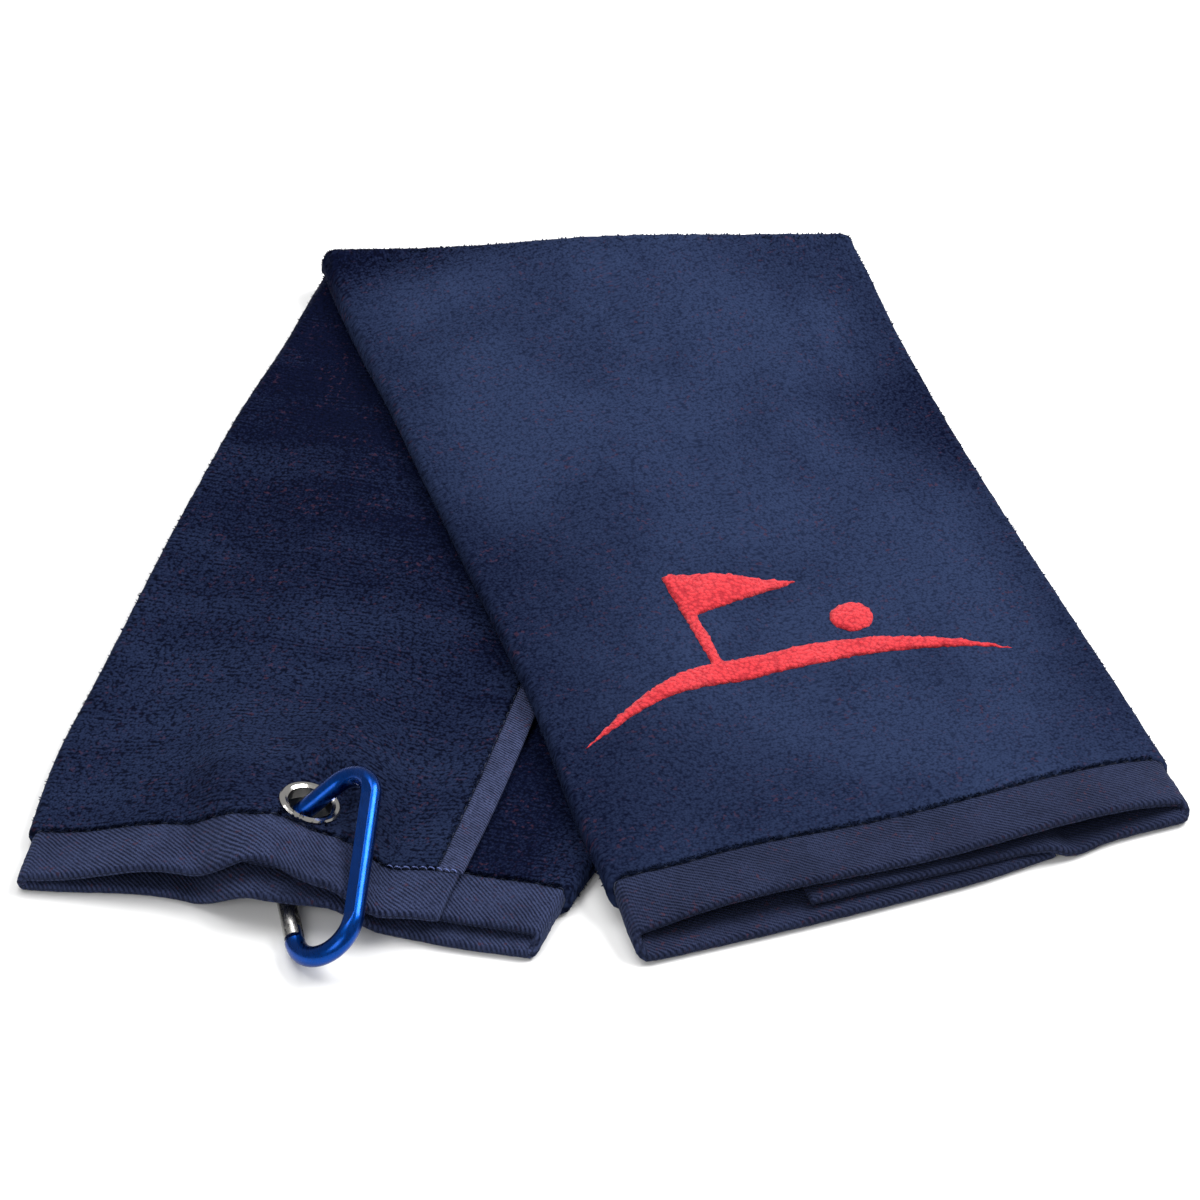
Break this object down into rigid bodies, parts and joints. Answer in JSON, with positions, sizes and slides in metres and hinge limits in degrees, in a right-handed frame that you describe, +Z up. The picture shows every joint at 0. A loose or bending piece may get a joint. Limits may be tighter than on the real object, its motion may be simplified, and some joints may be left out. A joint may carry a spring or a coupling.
{
  "type": "golf towel",
  "caption": "Velour golf towel folded in thirds and then across, with a raised motif, a hem grommet and a spring-gate carabiner.",
  "frame": {"origin": "on the surface the towel lies on, 12 mm in front of the middle of the crosswise fold's turning line", "axes": "+X along the crosswise fold towards the upper leg's side, -Y from the fold towards the hems, +Z up from the surface"},
  "size_m": [0.3366, 0.3213, 0.0259],
  "materials": {
    "velour": "navy cotton velour pile with sparse reddish flecks",
    "hem_twill": "navy twill-woven hem band",
    "emblem_pile": "raised red cotton pile",
    "nickel": "bright nickel plate",
    "blue_anodised": "glossy blue anodising",
    "gate_nickel": "satin silver",
    "spring_steel": "plain spring steel"
  },
  "bodies": {
    "lower_leg": {"lower_middle_panel": "velour", "lower_inner_flap": "velour", "lower_outer_flap": "velour", "lower_middle_end_hem": "hem_twill", "lower_inner_end_hem": "hem_twill", "lower_outer_end_hem": "hem_twill", "lower_side_hem": "hem_twill", "fold_middle_panel": "velour", "fold_inner_flap": "velour", "fold_outer_flap": "velour", "grommet_eyelet": "nickel", "grommet_washer": "nickel"},
    "upper_leg": {"upper_middle_panel": "velour", "upper_inner_flap": "velour", "upper_outer_flap": "velour", "upper_middle_end_hem": "hem_twill", "upper_inner_end_hem": "hem_twill", "upper_outer_end_hem": "hem_twill", "upper_side_hem": "hem_twill", "emblem": "emblem_pile"},
    "carabiner": {"carabiner_body": "blue_anodised"},
    "gate": {"gate_tube": "gate_nickel", "gate_rivet": "gate_nickel", "gate_plunger": "spring_steel", "gate_spring": "spring_steel"}
  },
  "joints": [
    {"name": "fold", "type": "hinge", "parent": "lower_leg", "child": "upper_leg", "pos_m": [0, 0.012, 0.00845], "axis": [-1, 0, 0], "range_deg": [0, 180], "deforming": ["fold_middle_panel", "fold_inner_flap", "fold_outer_flap"]},
    {"name": "carabiner_swing", "type": "hinge", "parent": "lower_leg", "child": "carabiner", "pos_m": [-0.08244, -0.24438, 0.01163], "axis": [0.2877, 0.0976, 0.9528], "range_deg": [-5, 5]},
    {"name": "gate_hinge", "type": "hinge", "parent": "carabiner", "child": "gate", "pos_m": [-0.08622, -0.2846, 0.00311], "axis": [0.5526, 0.1226, -0.8244], "range_deg": [0, 20], "stiffness_Nm_per_rad": 0.25, "springref_deg": -14.32, "deforming": ["lower_middle_panel", "lower_inner_flap", "lower_middle_end_hem", "lower_inner_end_hem"]}
  ]
}
